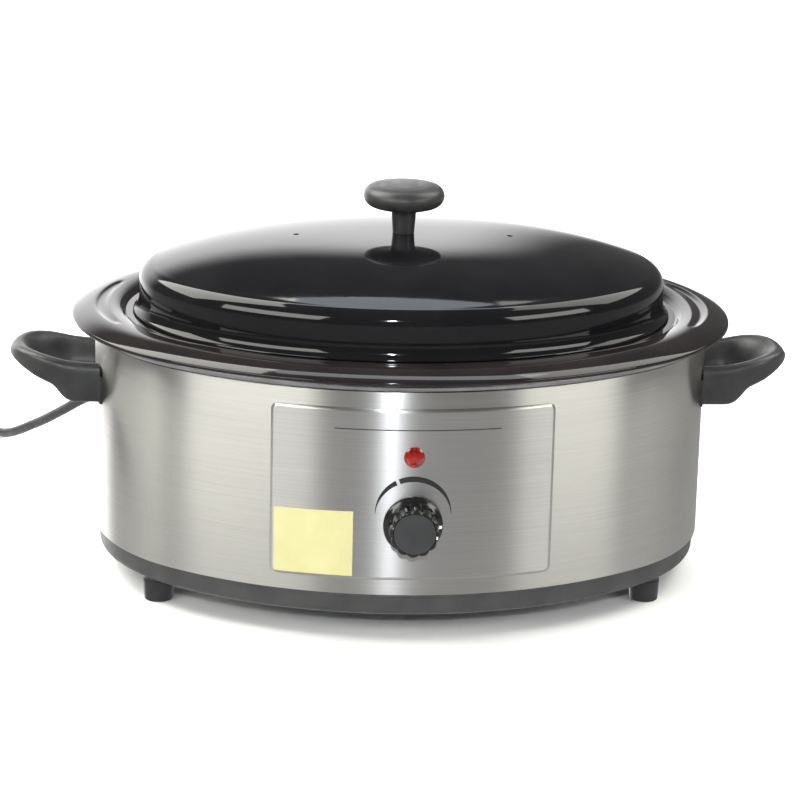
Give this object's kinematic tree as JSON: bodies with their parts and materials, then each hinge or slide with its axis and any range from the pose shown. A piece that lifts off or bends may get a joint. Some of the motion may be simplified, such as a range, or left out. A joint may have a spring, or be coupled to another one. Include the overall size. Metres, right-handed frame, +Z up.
{
  "type": "hot stone heater",
  "caption": "Oval electric stone heater: brushed drum on short feet with loop handles, lift-out black enamel pan, domed lid, thermostat knob, pilot lamp and mains lead.",
  "frame": {"origin": "centre of the oval body, on the worktop under the feet", "axes": "+Z up; +X to the right along the long axis; the control plate faces -Y"},
  "size_m": [0.57, 0.448, 0.228],
  "materials": {
    "brushed_wrap": "horizontal brush",
    "brushed_plate": "horizontal brush",
    "base_enamel": "satin",
    "aluminised_liner": "dull",
    "black_enamel": "gloss",
    "black_phenolic": "satin",
    "zinc": "zinc plate",
    "gloss_black": "gloss",
    "cap_grey": "matte",
    "pointer_white": "matte",
    "brass": "plain",
    "ceramic": "glazed ceramic",
    "red_lens": "translucent",
    "lamp_white": "plain",
    "mica_band": "dull sheet over mica",
    "glass_fibre": "felted fibre",
    "aluminium_sheet": "mill",
    "wire_black": "sleeved",
    "wire_green": "sleeved",
    "gasket_black": "matte",
    "cord_grey": "matte jacket",
    "plug_black": "moulded"
  },
  "bodies": {
    "housing": {"outer_wrap": "brushed_wrap", "control_plate": "brushed_plate", "base_pan": "base_enamel", "liner": "aluminised_liner", "thermostat_body": "ceramic", "thermostat_screws": "zinc", "thermostat_bracket": "zinc", "pilot_lens": "red_lens", "lamp_body": "lamp_white", "lamp_clip": "zinc", "heating_band": "mica_band", "band_terminals": "brass", "band_clamp_screws": "zinc", "insulation_blanket": "glass_fibre", "heat_shield": "aluminium_sheet", "thermal_fuse": "ceramic", "fuse_clip": "zinc", "lead_wires": "wire_black", "wire_connector": "ceramic", "earth_wire": "wire_green", "earth_screw": "brass", "tie_stud": "zinc", "tie_nut": "zinc", "left_handle": "black_phenolic", "right_handle": "black_phenolic", "handle_gaskets": "gasket_black", "handle_screws": "zinc", "handle_inserts": "brass", "feet": "black_phenolic", "foot_screws": "zinc", "strain_relief": "cord_grey", "power_cord": "cord_grey", "cord_coil": "cord_grey", "cord_tail": "cord_grey", "cord_tie": "gasket_black", "plug_body": "plug_black", "plug_pins": "brass"},
    "pan": {"insert_pan": "black_enamel"},
    "lid": {"lid_shell": "black_enamel", "lid_knob": "black_phenolic", "lid_knob_screw": "zinc", "lid_knob_washer": "zinc"},
    "knob": {"control_knob": "gloss_black", "knob_cap": "cap_grey", "knob_pointer": "pointer_white", "thermostat_shaft": "brass"}
  },
  "joints": [
    {"name": "pan_lift", "type": "slide", "parent": "housing", "child": "pan", "axis": [0, 0, 1], "range_m": [0, 0.13]},
    {"name": "lid_lift", "type": "slide", "parent": "pan", "child": "lid", "axis": [0, 0, 1], "range_m": [0, 0.09]},
    {"name": "thermostat_turn", "type": "hinge", "parent": "housing", "child": "knob", "pos_m": [0, -0.1342, 0.0685], "axis": [0, -1, 0], "range_deg": [-270, 0]}
  ]
}
